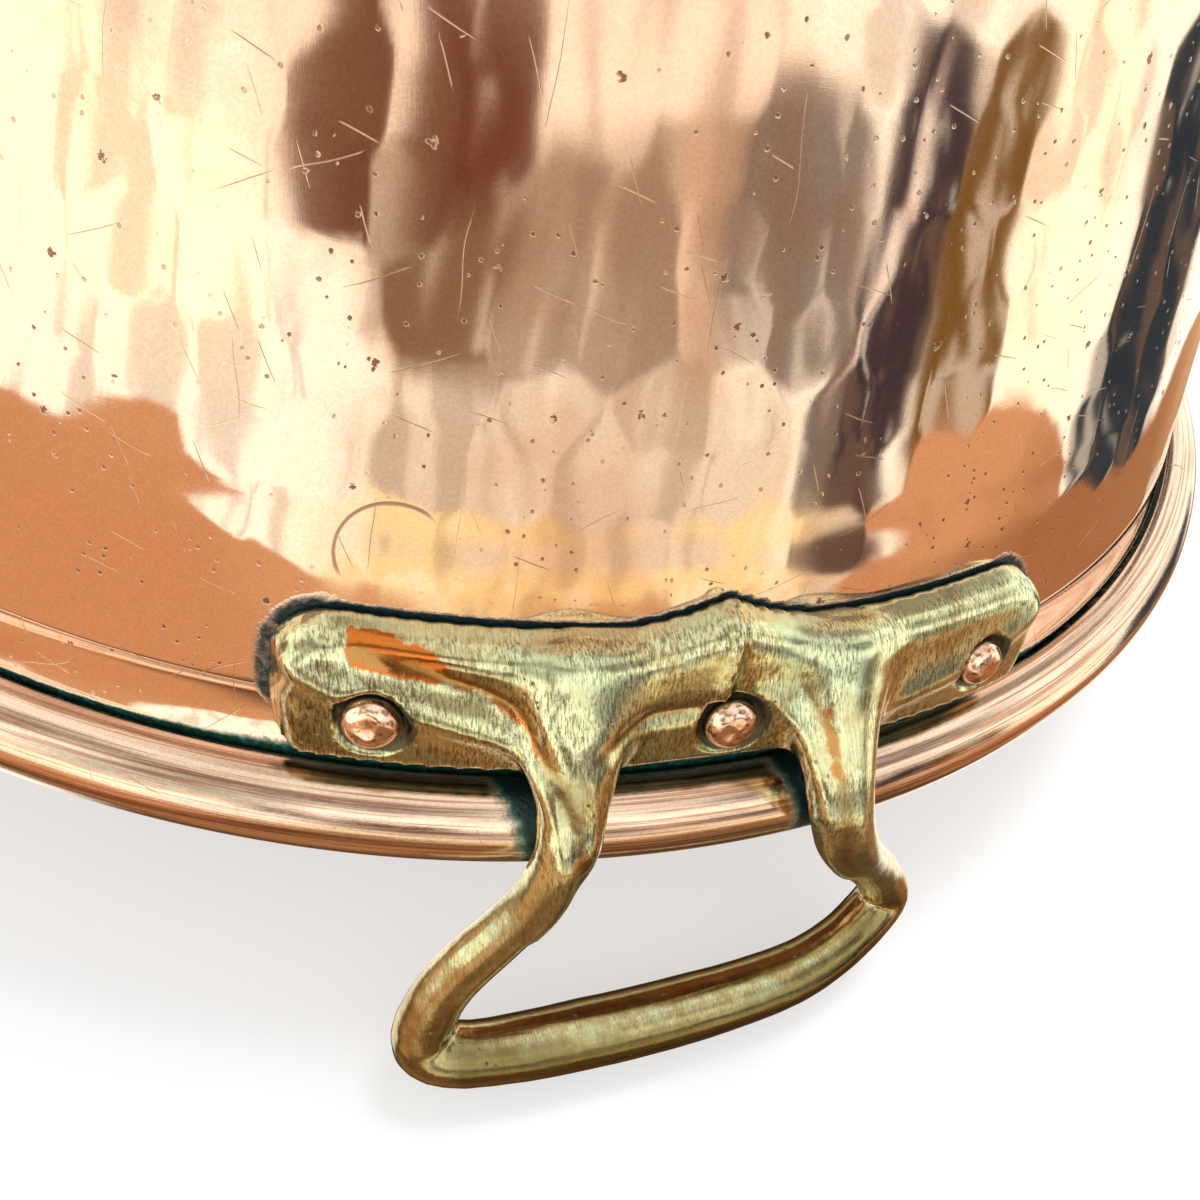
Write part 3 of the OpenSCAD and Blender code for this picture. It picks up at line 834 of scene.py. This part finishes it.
def handle_field(axes):
    x, y, z = np.meshgrid(*axes, indexing="ij", sparse=True)
    radius = np.sqrt(x * x + y * y)
    off = (radius - wall_r(z)) * math.cos(FLARE)
    h = BOWL_H - z + 0 * radius
    foot = h - off * math.sin(FLARE)
    side = y + 0 * h
    top = np.where(np.abs(side) < 20, TOP_BETWEEN_ARMS, TOP_AT_ENDS)
    height = plate_height(side, h, foot)
    plate = np.maximum((off - height) * 0.75, top - h)
    plate = np.maximum(plate, -plate_inset(side, np.maximum(foot, 25)))
    lines = np.array([(RIM_R + o, s, BOWL_H + u, a, d) for o, s, u, a, d in LOOP_ROWS])
    field = blend_min(plate, loop_field(axes, spline(lines, 4)), 5.0)
    for line, width, rise in RELIEF:
        field = field - rise * bump(line_distance(side, h, line), width) * (off > 3)
    for place in (-1, 0, 1):
        field = drill(field, x, y, z, place)
    bead = np.hypot(radius - RIM_R, z - ROLL_Z)
    field = np.maximum(field, ROLL_R + 2 * GAP - bead)
    return np.maximum(field, GAP - off)


def drill(field, x, y, z, place):
    """Cuts one rivet's bore and its pocket."""
    start, axis, _ = rivet_axes(place)
    dx, dy, dz = x - start[0], y - start[1], z - start[2]
    along = dx * axis[0] + dy * axis[1] + dz * axis[2]
    away = np.sqrt(np.maximum(dx * dx + dy * dy + dz * dz - along ** 2, 0))
    pocket = np.maximum(away - POCKET_D / 2, POCKET_FLOOR - along)
    cut = -blend_min(-field, pocket, 0.6)
    return np.maximum(cut, BORE_D / 2 + GAP - away)


def surface_net(field, axes):
    """Vertices and quads of the zero surface of a field on a regular grid."""
    inside = field < 0
    n = [s - 1 for s in field.shape]
    count = np.zeros(n, np.int8)
    for i, j, k in CORNERS:
        count += inside[i:i + n[0], j:j + n[1], k:k + n[2]]
    cells = np.argwhere((count > 0) & (count < 8))
    index = np.full(n, -1)
    index[tuple(cells.T)] = np.arange(len(cells))
    total, hits = np.zeros((len(cells), 3)), np.zeros(len(cells))
    for a in CORNERS:
        for axis in range(3):
            if a[axis]:
                continue
            b = tuple(v + (i == axis) for i, v in enumerate(a))
            fa, fb = field[tuple((cells + a).T)], field[tuple((cells + b).T)]
            crossing = (fa < 0) != (fb < 0)
            t = np.where(crossing, fa / np.where(crossing, fa - fb, 1), 0)
            place = np.array(a, float) + np.outer(t, np.eye(3)[axis])
            total += place * crossing[:, None]
            hits += crossing
    points = (cells + total / hits[:, None]) * CELL + np.array([axis[0] for axis in axes])
    quads = []
    for axis in range(3):
        u, v = (axis + 1) % 3, (axis + 2) % 3
        low = np.take(inside, range(n[axis]), axis)
        high = np.take(inside, range(1, n[axis] + 1), axis)
        for cell in (np.argwhere(low & ~high), np.argwhere(~low & high)):
            keep = (cell[:, u] > 0) & (cell[:, v] > 0) & (cell[:, u] < n[u]) & (cell[:, v] < n[v])
            cell = cell[keep]
            around = []
            for du, dv in ((0, 0), (1, 0), (1, 1), (0, 1)):
                c = cell.copy()
                c[:, u] -= du
                c[:, v] -= dv
                around.append(index[tuple(c.T)])
            quads.append(np.stack(around, -1))
        quads[-1] = quads[-1][:, ::-1]
    return points, np.concatenate(quads)


def sample(field, axes, points):
    """Value and gradient of the field at points, by trilinear interpolation."""
    p = (points - np.array([a[0] for a in axes])) / CELL
    base = np.clip(np.floor(p).astype(int), 0, np.array(field.shape) - 2)
    f = p - base
    value, slope = 0, np.zeros_like(points)
    for c in CORNERS:
        corner = field[tuple((base + c).T)]
        w = np.where(c, f, 1 - f)
        value = value + corner * w.prod(1)
        for i in range(3):
            slope[:, i] += corner * (1 if c[i] else -1) * w[:, i - 1] * w[:, i - 2]
    return value, slope / CELL


def relax(points, quads, rounds):
    """Taubin smoothing: evens the net without shrinking it."""
    a, b = quads.T.ravel(), np.roll(quads, -1, 1).T.ravel()
    ends, starts = np.concatenate([a, b]), np.concatenate([b, a])
    degree = np.bincount(ends, minlength=len(points))[:, None]
    for _ in range(rounds):
        for step in (0.5, -0.52):
            near = np.stack([np.bincount(ends, points[starts, k], len(points)) for k in range(3)], -1)
            points = points + step * (near / degree - points)
    return points


def handle_mesh():
    axes = handle_grid()
    field = handle_field(axes)
    points, quads = surface_net(field, axes)
    for _ in range(2):
        points = relax(points, quads, 2)
        value, slope = sample(field, axes, points)
        steep = np.maximum((slope ** 2).sum(1), 0.3)
        points = points - slope * (np.clip(value, -0.5, 0.5) / steep)[:, None] * 0.9
    _, slope = sample(field, axes, points)
    outward = slope / np.linalg.norm(slope, axis=1)[:, None]
    off = (np.hypot(points[:, 0], points[:, 1]) - wall_r(points[:, 2])) * math.cos(FLARE)
    dents = 0.10 * lattice_noise(points, 9, 21) + 0.05 * lattice_noise(points, 3.5, 22)
    free = smooth(off, 1, 3)
    return points + outward * ((dents - 0.12) * free)[:, None], quads


def handle_stains_and_shade(points, worn):
    """Painted masks of the casting, from 0 to 1, by name: stains and wear, and painted shade and
    highlight.
    """
    x, side, z = points.T
    h = BOWL_H - z
    off = (np.hypot(x, side) - wall_r(z)) * math.cos(FLARE)
    bead = np.hypot(np.hypot(x, side) - RIM_R, z - ROLL_Z) - ROLL_R
    # Painted shade: along the edges against the wall and the roll, and in each rivet pocket with a
    # crescent to one side.
    edge = np.maximum(smooth(off, 1.6, 0.2), smooth(bead, 1.8, 0.3))
    pocket = np.zeros(len(points))
    for place in (-1, 0, 1):
        start, axis, _ = rivet_axes(place)
        along = (points - start) @ axis
        across = points - start - along[:, None] * axis
        away = np.linalg.norm(across, axis=1)
        crescent = np.linalg.norm(across - (0, -1.1, 0), axis=1)
        pocket = np.maximum(pocket, 0.9 * smooth(crescent, 5.9, 5.1) * (along > 3))
        inside = smooth(away, POCKET_D / 2 + 0.5, POCKET_D / 2 - 0.4)
        pocket = np.maximum(pocket, inside * smooth(along, 7.3, 5.8))
    on_face = off > 3
    # Brown: painted shade along the valleys, a band across the rivets, and more towards the arms and a
    # little on the grip.
    red, tan = 0 * h, 0.44 * smooth(h, 31, 27) * smooth(h, 18, 21)
    for line, width, strength in WORN_RED:
        red = np.maximum(red, strength * worn * bump(line_distance(side, h, line), width))
    for line, width, strength in VALLEY_SHADE:
        tan = np.maximum(tan, strength * bump(line_distance(side, h, line), width))
    tan = np.maximum(tan * on_face, 0.45 * smooth(h, 26, 8) + 0.13 * smooth(h, -4, -16))
    filed = smooth(h, 12, 20) * on_face + 0.45
    pit = bump(np.hypot(side + 14.5, h - 34.2), 0.9) * on_face
    grip = np.array(LOOP_ROWS[9:16])[::-1]
    out = np.hypot(x, side) - RIM_R - np.interp(side, grip[:, 1], grip[:, 0])
    around = np.degrees(np.arctan2(z - BOWL_H - np.interp(side, grip[:, 1], grip[:, 2]), out))
    on_grip = smooth(h, -12, -20) * smooth(np.abs(side), 47, 38)
    # Painted shade all round the grip except one band, which stays bright as a painted highlight; painted
    # shade low on the outer arms too.
    painted_shade = (1 - bump(around + GRIP_HIGHLIGHT, GRIP_HIGHLIGHT_WIDTH)) * on_grip
    painted_shade = np.maximum(painted_shade, 0.5 * smooth(np.abs(side), 36, 44) * smooth(h, -6, -16))
    green = 0.8 * smooth(off, 3.2, 0.6) * smooth(h, 33, 26) + 0.7 * smooth(bead, 2.6, 0.6)
    return [
        ("grime_and_shade", np.maximum(edge, pocket * 0.95)),
        ("worn", red * on_face), ("tan", tan), ("painted_shade", painted_shade * 0.9),
        ("filed", np.clip(filed, 0, 1)), ("pit", pit), ("verdigris", np.clip(green, 0, 0.9)),
        ("cast", np.stack([side, h, off], -1))
    ]


def build_handle(name, points, quads, turn, material, worn):
    """The casting turned to its side of the bowl. turn is the angle about Z in degrees."""
    c, s = math.cos(math.radians(turn)), math.sin(math.radians(turn))
    turned = np.stack([points[:, 0] * c - points[:, 1] * s, points[:, 0] * s + points[:, 1] * c,
                       points[:, 2]], -1)
    return make_piece(name, turned, [quads], material, handle_stains_and_shade(points, worn))


# ---------- rivets

RIVET_COLUMNS = 56


def hammered_dome(diameter, height, seed, rows=20):
    """Points of a domed head that a few flat blows have shaped, from its top to its edge."""
    rng = np.random.default_rng(seed)
    blows = rng.uniform(-0.32, 0.32, (9, 2)) * diameter
    levels = rng.uniform(0, 0.2, 9)
    share = np.linspace(0.06, 1, rows) ** 0.8
    angle = np.linspace(0, 2 * math.pi, RIVET_COLUMNS, endpoint=False)
    wobble = 0.975 - 0.015 * np.sin(angle * 2 + seed) - 0.01 * np.sin(angle * 3 + 2 * seed)
    r = share[:, None] * diameter / 2 * wobble[None, :]
    x, y = r * np.cos(angle), r * np.sin(angle)
    z = height * (1 - share ** 3.6)[:, None] ** 0.6 + 0 * x
    facets = np.full(x.shape, 9.0)
    for (bx, by), level in zip(blows, levels):
        facets = np.minimum(facets, level + 0.07 * ((x - bx) ** 2 + (y - by) ** 2))
    z = z - np.clip(0.34 - facets, 0, 0.34) * (1 - share ** 3)[:, None] * height / 3
    return np.stack([x, y, z], -1)


def build_rivet(name, turn, place, seed, material):
    """One rivet: hammered head in its pocket, shank through the plate and wall, low head inside."""
    angle = np.linspace(0, 2 * math.pi, RIVET_COLUMNS, endpoint=False)
    ring = np.stack([np.cos(angle), np.sin(angle), 0 * angle], -1)
    seat = POCKET_FLOOR + GAP
    inner = -SHEET_T - GAP
    head = hammered_dome(HEAD_D - 0.05, HEAD_H - 0.02, seed)
    head[:, :, 2] += seat
    low = hammered_dome(INNER_D - 0.05, INNER_H - 0.02, seed + 50)[::-1] * (1, 1, -1)
    low[:, :, 2] += inner
    shank = [ring * SHANK_D / 2 + (0, 0, z) for z in (seat, (seat + inner) / 2, inner)]
    rows = np.concatenate([head, np.array(shank), low])
    tops = np.array([[0, 0, head[0, :, 2].mean()], [0, 0, low[-1, :, 2].mean()]])
    local = np.concatenate([rows.reshape(-1, 3), tops])
    start, axis, sideways = rivet_axes(place, turn)
    frame_axes = np.array([sideways, np.cross(axis, sideways), axis])
    x, y, z = local.T
    # Painted shade on the head's edge and the shank inside the pocket.
    edge = smooth(np.hypot(x, y), 3.4, 4.5) * (z > 0) * smooth(z, 7.4, 5.8)
    faces = [face[:, ::-1] for face in turned_faces(len(rows), RIVET_COLUMNS)]
    return make_piece(name, start + local @ frame_axes, faces, material, [("grime_and_shade", edge)])


# ---------- build the pieces

def place_piece(piece, node):
    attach(piece, "root")
    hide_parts(node)


copper = copper_material()
place_piece(build_shell(copper), "bowl_shell")

casting_points, casting_quads = handle_mesh()
SIDES = (("front", -90, 0), ("back", 90, 3))
for end, turn, seed in SIDES:
    brass = brass_material("cast_brass_" + end, seed)
    name = f"handle_{end}_casting"
    casting = build_handle(name, casting_points, casting_quads, turn, brass, end == "front")
    place_piece(casting, "handle_" + end)

rivet_copper = rivet_material()
for end, turn, _ in SIDES:
    for place, word in ((-1, "left"), (0, "middle"), (1, "right")):
        node = f"rivet_{end}_{word}"
        rivet = build_rivet(node + "_hammered", turn, place, turn + 7 * place + 200, rivet_copper)
        place_piece(rivet, node)

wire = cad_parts["rim_wire"]
wire.data.materials.clear()
wire.data.materials.append(iron_material())


# ---------- stage, light and camera

def one_sided(name, tint, glow):
    """A matt pale surface that shows only its front. glow is the share that it gives off itself."""
    made, n = new_material(name)
    face = n.add("ShaderNodeBsdfDiffuse", {}, {"Color": tint})
    light = n.add("ShaderNodeEmission", {}, {"Color": (1, 1, 1), "Strength": 0.985})
    lit = n.add("ShaderNodeMixShader", {}, {0: glow, 1: face.outputs[0], 2: light.outputs[0]})
    clear = n.add("ShaderNodeBsdfTransparent")
    behind = n.add("ShaderNodeNewGeometry").outputs["Backfacing"]
    both = n.add("ShaderNodeMixShader", {}, {0: behind, 1: lit.outputs[0], 2: clear.outputs[0]})
    n.add("ShaderNodeOutputMaterial", {}, {"Surface": both.outputs[0]})
    return made


def sheet_of_stage(name, z, half, order, material):
    """A square that only the camera sees, so that it throws no light or shade on the bowl."""
    corners = np.array([(-half, -half, z), (half, -half, z), (half, half, z), (-half, half, z)])
    sheet = make_piece(name, corners, [np.array([order])], material)
    for ray in ("diffuse", "glossy", "transmission", "shadow"):
        setattr(sheet, "visible_" + ray, False)


# The floor faces up. The backdrop hangs just above the grips and faces down, to the camera.
floor_paint = one_sided("floor_paint", (0.93, 0.93, 0.93), 0.30)
sheet_of_stage("floor", 0, 6000, (0, 1, 2, 3), floor_paint)
backdrop_paint = one_sided("backdrop_paint", (0.97, 0.97, 0.97), 0.55)
sheet_of_stage("backdrop", BOWL_H + 36.5, 750, (3, 2, 1, 0), backdrop_paint)

CREAM = (1.5, 1.56, 1.36)
LOW_WHITE = (1.05, 1.05, 0.90)
TABLE = (0.77, 0.44, 0.22)
TABLE_DEEP = (0.15, 0.085, 0.04)
CLUTTER = (0.30, 0.21, 0.13)
STUDIO_LIGHT = (0.93, 0.93, 0.92)
BACKGROUND = (0.985, 0.985, 0.985)

# Where the warm table ends and the pale room begins, as (azimuth, elevation) in degrees.
HORIZON = [(-180, 9), (-120, 13), (-95, 17), (-86, 15), (-74, 9.5), (-60, 4), (-52, 5), (-44, 8),
           (-37, 11), (-24, 10.5), (-8, 9), (7, 10), (19, 10), (28, 9), (36, 7), (43, 6), (50, 4),
           (56, 2.5), (66, 5), (80, 7), (110, 12), (180, 9)]

# Soft cards and gaps of the room: azimuth, elevation, half widths, lean, edge softness, colour.
CARDS = [
    (-4, -12, 32, 7.5, 0, 0.2, (0.55, 0.49, 0.38)),
    (-2, 1, 33, 5.5, 0, 0.2, (1.0, 0.96, 0.78)),
    (-4, 7.5, 36, 3.6, 0, 0.2, (1.2, 1.05, 0.55)),
    (17.5, -10.5, 8, 4.5, 6, 0.16, (0.30, 0.215, 0.13)),
    (17.5, -20.5, 8, 6, 0, 0.05, (0.19, 0.072, 0.04)),
    (32, -18.5, 4.4, 6, 0, 0.06, (0.19, 0.075, 0.04)),
    (-17, -12, 3, 9, -6, 0.25, (0.85, 0.74, 0.56)),
    (-30, -12, 9, 7.5, -6, 0.10, (0.31, 0.29, 0.25)),
    (-44.5, -6, 6, 14, -16, 0.07, (0.06, 0.048, 0.06)),
    (-37, 0, 2.5, 6, -18, 0.2, (0.22, 0.22, 0.21)),
    (-43, -9.5, 0.7, 9, -34, 0.4, (0.95, 0.86, 0.78)),
    (-57, -5, 6.5, 12, -12, 0.07, (0.22, 0.125, 0.024)),
    (-72, -3, 8, 13, 0, 0.12, (1.7, 1.6, 1.25)),
    (-93, 6, 11, 13, -20, 0.06, (0.032, 0.05, 0.068)),
    (58, -9, 16, 8, 0, 0.30, (1.8, 1.78, 1.35)),
    (-62, -48, 24, 13, 0, 0.25, (0.30, 0.28, 0.25)),
    (100, -52, 16, 14, 8, 0.2, (0.50, 0.42, 0.33)),
    (-125, -50, 12, 16, -8, 0.2, (0.42, 0.36, 0.29)),
    (168, -54, 11, 18, 0, 0.2, (0.40, 0.33, 0.26)),
    (40, -62, 40, 9, 0, 0.25, (0.35, 0.33, 0.28)),
    (48, -38, 16, 12, 0, 0.3, (0.62, 0.64, 0.52)),
    (-10, -40, 30, 9, 10, 0.3, (1.5, 1.5, 1.3)),
    (150, -10, 20, 16, 0, 0.2, (0.45, 0.38, 0.30)),
    (-150, -16, 12, 20, 10, 0.16, (0.12, 0.09, 0.08)),
    (115, -4, 8, 18, -8, 0.16, (0.22, 0.15, 0.09)),
]
HIGH_CARDS = [
    (30, 52, 44, 15, 0, 0.3, (0.42, 0.21, 0.09)),
    (62, 18, 22, 13, 0, 0.35, (0.72, 0.38, 0.18)),
    (0, 25, 34, 12, 0, 0.25, (0.28, 0.16, 0.075)),
    (-85, 25, 28, 14, 0, 0.3, (0.45, 0.21, 0.09)),
    (120, 48, 34, 15, 0, 0.25, (1.5, 1.4, 1.2)),
    (-108, 46, 18, 14, 0, 0.25, (1.4, 1.3, 1.1)),
    (172, 50, 16, 18, 0, 0.25, (1.5, 1.4, 1.2)),
    (-154, 54, 24, 24, 0, 0.35, (0.09, 0.06, 0.035)),
]


def hang_card(n, seen, azimuth, elevation, az, el, half_az, half_el, lean, edge, colour):
    """Mixes one soft-edged rectangle with round corners into what is seen."""
    c, s = math.cos(math.radians(lean)), math.sin(math.radians(lean))
    da, de = n.minus(azimuth, az), n.minus(elevation, el)
    p = n.plus(n.times(da, c / half_az), n.times(de, s / half_az))
    q = n.plus(n.times(da, -s / half_el), n.times(de, c / half_el))
    p, q = n.math("ABSOLUTE", p), n.math("ABSOLUTE", q)
    far = n.plus(n.math("POWER", p, 4), n.math("POWER", q, 4))
    mask = n.step(n.math("POWER", far, 0.25), 1 + edge, 1 - edge)
    return n.mix(mask, seen, colour)


def build_world():
    """The room as the metal reflects it. Matt surfaces get plain white light, the camera white."""
    world = bpy.data.worlds.new("studio")
    bpy.context.scene.world = world
    world.use_nodes = True
    n = Nodes(world.node_tree)
    look = n.add("ShaderNodeTexCoord").outputs["Generated"]
    warp = n.add("ShaderNodeTexNoise", {}, {"Vector": look, "Scale": 7.0, "Detail": 3.0}).outputs["Color"]
    wavy = n.split(warp)
    x, y, z = n.split(look)
    turn = n.math("ARCTAN2", x, n.times(y, -1))
    azimuth = n.times(turn, 180 / math.pi)
    elevation = n.times(n.math("ARCSINE", z), 180 / math.pi)
    azimuth = n.plus(azimuth, n.times(n.minus(wavy[0], 0.5), 5))
    elevation = n.plus(elevation, n.times(n.minus(wavy[1], 0.5), 4))

    curve = n.add("ShaderNodeFloatCurve", {}, {"Value": n.math("MULTIPLY_ADD", azimuth, 1 / 360, 0.5)})
    line = curve.mapping.curves[0]
    for i, (a, e) in enumerate(HORIZON):
        place = (a / 360 + 0.5, e / 40 + 0.5)
        if i in (0, len(HORIZON) - 1):
            line.points[0 if i == 0 else len(line.points) - 1].location = place
        else:
            line.points.new(*place)
    curve.mapping.update()
    horizon = n.times(n.minus(curve.outputs[0], 0.5), 40)
    above = n.minus(elevation, horizon)

    room = n.mix(n.step(elevation, -60, -36), LOW_WHITE, CREAM)
    for card in CARDS:
        room = hang_card(n, room, azimuth, elevation, *card)
    clutter = n.noise(n.place(look, scale=(11, 11, 5)), 1, 3, 0.6)
    room = n.mix(n.step(clutter, 0.52, 0.58, to=(0, 0.4)), room, CLUTTER)
    room = n.mix(n.step(clutter, 0.45, 0.40, to=(0, 0.35)), room, CREAM)
    table = n.mix(n.step(above, 3, 22), TABLE, TABLE_DEEP)
    for card in HIGH_CARDS:
        table = hang_card(n, table, azimuth, elevation, *card)
    seen = n.mix(n.step(above, -0.5, 0.5), room, table)

    path = n.add("ShaderNodeLightPath")
    seen = n.mix(path.outputs["Is Diffuse Ray"], seen, STUDIO_LIGHT)
    seen = n.mix(path.outputs["Is Camera Ray"], seen, BACKGROUND)
    back = n.add("ShaderNodeBackground", {}, {"Color": seen, "Strength": 1.0})
    n.add("ShaderNodeOutputWorld", {}, {"Surface": back.outputs[0]})


def soft_light(name, place, target, size, watts):
    """A large soft lamp that lights the matt surfaces and stays out of the reflections."""
    data = bpy.data.lights.new(name, "AREA")
    data.size, data.energy = size, watts
    lamp = bpy.data.objects.new(name, data)
    lamp.location = place
    lamp.rotation_euler = (Vector(target) - Vector(place)).to_track_quat("-Z", "Y").to_euler()
    lamp.visible_glossy = False
    bpy.context.scene.collection.objects.link(lamp)


CAMERA_PLACE = Vector((0.0516, -0.2573, 0.0002))
CAMERA_TARGET = Vector((0.0137, -0.1740, 0.1061))
CAMERA_ROLL = 195.1
SENSOR, LENS = 36, 26.46


def build_camera():
    """Close to the front handle, looking up at it, turned so that the rim is at the bottom."""
    data = bpy.data.cameras.new("camera")
    data.sensor_width, data.lens, data.clip_start = SENSOR, LENS, 0.01
    camera = bpy.data.objects.new("camera", data)
    ahead = (CAMERA_TARGET - CAMERA_PLACE).to_track_quat("-Z", "Y")
    camera.rotation_mode = "QUATERNION"
    camera.location = CAMERA_PLACE
    camera.rotation_quaternion = ahead @ Quaternion((0, 0, 1), math.radians(CAMERA_ROLL))
    bpy.context.scene.collection.objects.link(camera)
    bpy.context.scene.camera = camera


build_world()
soft_light("key", (-0.9, -1.1, 1.6), (0, 0, 0.05), 1.2, 14)
soft_light("low", (-0.32, 0.22, -0.9), (0, -0.2, 0.15), 0.4, 9)
build_camera()
bpy.context.scene.view_settings.view_transform = "Standard"
